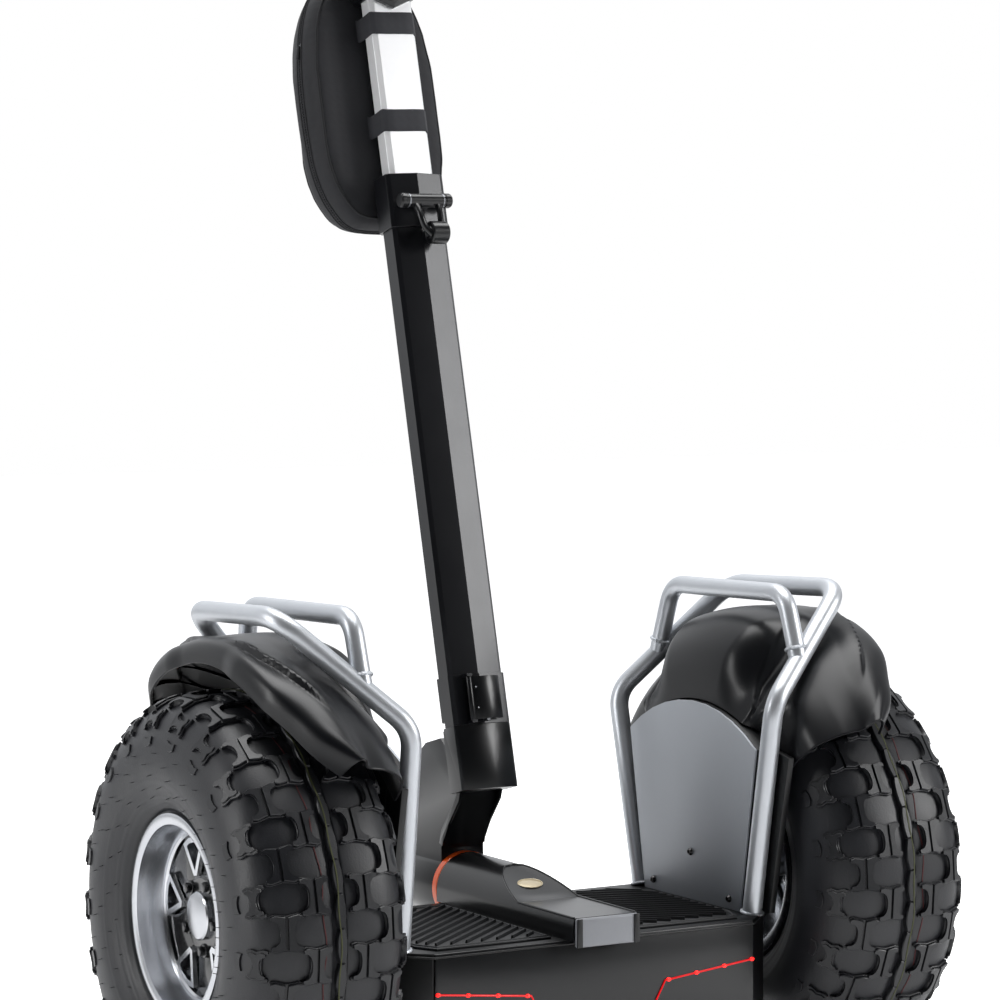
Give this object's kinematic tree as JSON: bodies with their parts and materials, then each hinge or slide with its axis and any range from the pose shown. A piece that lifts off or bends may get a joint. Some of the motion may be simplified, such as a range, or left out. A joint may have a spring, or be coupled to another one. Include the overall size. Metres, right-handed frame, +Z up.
{
  "type": "self-balancing transporter",
  "caption": "Stand-on self-balancing off-road transporter: driven wheels under fenders, roll bars and a steering pole that leans and folds.",
  "frame": {"origin": "on the ground, at the centre of the bounding box", "axes": "+X to the right of the rider, +Y the way it drives, +Z up; the wheel axis is parallel to X, 101.4 mm behind the origin"},
  "size_m": [0.921, 0.6858, 1.3402],
  "materials": {
    "tyre": "moulded rubber",
    "rim": "machined and black painted",
    "gloss_black": "gloss black",
    "steel": "turned",
    "dark_silver": "satin dark silver",
    "satin_black": "satin black",
    "satin_silver": "satin silver",
    "fender_black": "satin gloss black",
    "rubber": "ribbed",
    "red_light": "lit red",
    "grey_trim": "satin grey",
    "orange": "orange",
    "battery_case": "plain",
    "circuit": "plain",
    "brushed_aluminium": "brushed",
    "screen": "gloss",
    "bag_fabric": "woven"
  },
  "bodies": {
    "chassis": {"accent_ring": "orange", "battery_pack": "battery_case", "bottom_plate": "satin_black", "control_board": "circuit", "deck_shell": "satin_black", "fender_left": "fender_black", "fender_right": "fender_black", "hump_cover": "gloss_black", "hump_end_plate": "grey_trim", "inner_hoop_left": "satin_silver", "inner_hoop_right": "satin_silver", "mat_left": "rubber", "mat_right": "rubber", "motor_left": "steel", "motor_right": "steel", "panel_screw_left_1": "steel", "panel_screw_left_2": "steel", "panel_screw_left_3": "steel", "panel_screw_right_1": "steel", "panel_screw_right_2": "steel", "panel_screw_right_3": "steel", "pivot_bearing": "steel", "rear_facia": "gloss_black", "rear_light": "red_light", "roll_bar_left": "satin_silver", "roll_bar_right": "satin_silver", "side_housing_left": "satin_black", "side_housing_right": "satin_black", "side_panel_left": "dark_silver", "side_panel_right": "dark_silver"},
    "steering": {"steering_stem": "gloss_black", "pivot_shaft": "steel", "fold_pin": "steel"},
    "pole": {"upper_sleeve": "gloss_black", "lower_pole": "satin_black", "clamp_collar": "gloss_black"},
    "latch": {"fold_latch": "gloss_black"},
    "lever": {"clamp_lever": "gloss_black"},
    "top": {"upper_tube": "brushed_aluminium", "handlebar_head": "gloss_black", "handlebar": "satin_black", "grip_left": "rubber", "grip_right": "rubber", "display": "screen", "bag": "bag_fabric"},
    "stand": {"parking_stand": "satin_silver"},
    "button_a": {"button_left": "grey_trim"},
    "button_b": {"button_right": "grey_trim"},
    "wheel_left": {"tyre_left": "tyre", "rim_left": "rim", "axle_left": "steel", "drive_gear_left": "steel", "hub_cap_left": "gloss_black"},
    "rotor_left": {"motor_pinion_left": "steel"},
    "wheel_right": {"tyre_right": "tyre", "rim_right": "rim", "axle_right": "steel", "drive_gear_right": "steel", "hub_cap_right": "gloss_black"},
    "rotor_right": {"motor_pinion_right": "steel"}
  },
  "joints": [
    {"name": "wheel_left_spin", "type": "hinge", "parent": "chassis", "child": "wheel_left", "pos_m": [-0.3595, -0.10144, 0.2415], "axis": [1, 0, 0], "continuous": true},
    {"name": "wheel_right_spin", "type": "hinge", "parent": "chassis", "child": "wheel_right", "pos_m": [0.3595, -0.10144, 0.2415], "axis": [1, 0, 0], "continuous": true},
    {"name": "motor_left_spin", "type": "hinge", "parent": "chassis", "child": "rotor_left", "pos_m": [-0.2332, -0.10144, 0.1455], "axis": [1, 0, 0], "continuous": true},
    {"name": "motor_right_spin", "type": "hinge", "parent": "chassis", "child": "rotor_right", "pos_m": [0.2332, -0.10144, 0.1455], "axis": [1, 0, 0], "continuous": true},
    {"name": "steering_lean", "type": "hinge", "parent": "chassis", "child": "steering", "pos_m": [0, 0.04836, 0.218], "axis": [0, 1, 0], "range_deg": [-15, 15], "stiffness_Nm_per_rad": 160},
    {"name": "fold_hinge", "type": "hinge", "parent": "steering", "child": "pole", "pos_m": [0, 0.02862, 0.40527], "axis": [-1, 0, 0], "range_deg": [0, 75]},
    {"name": "latch_swing", "type": "hinge", "parent": "pole", "child": "latch", "pos_m": [-0.0175, -0.00379, 0.44331], "axis": [0, -0.2436, -0.9699], "range_deg": [0, 100]},
    {"name": "lever_swing", "type": "hinge", "parent": "pole", "child": "lever", "pos_m": [0, 0.13291, 1.01627], "axis": [-1, 0, 0], "range_deg": [0, 110]},
    {"name": "height_slide", "type": "slide", "parent": "pole", "child": "top", "axis": [0, 0.2436, 0.9699], "range_m": [-0.045, 0.06]},
    {"name": "button_left_press", "type": "slide", "parent": "top", "child": "button_a", "axis": [0, 0.9699, -0.2436], "range_m": [0, 0.0012], "stiffness_N_per_m": 400},
    {"name": "button_right_press", "type": "slide", "parent": "top", "child": "button_b", "axis": [0, 0.9699, -0.2436], "range_m": [0, 0.0012], "stiffness_N_per_m": 400},
    {"name": "stand_fold", "type": "hinge", "parent": "chassis", "child": "stand", "pos_m": [0, -0.01144, 0.0875], "axis": [1, 0, 0], "range_deg": [-130, 0]}
  ],
  "couplings": [
    {"joint": "motor_left_spin", "follows": "wheel_left_spin", "ratio": -3},
    {"joint": "motor_right_spin", "follows": "wheel_right_spin", "ratio": -3}
  ]
}
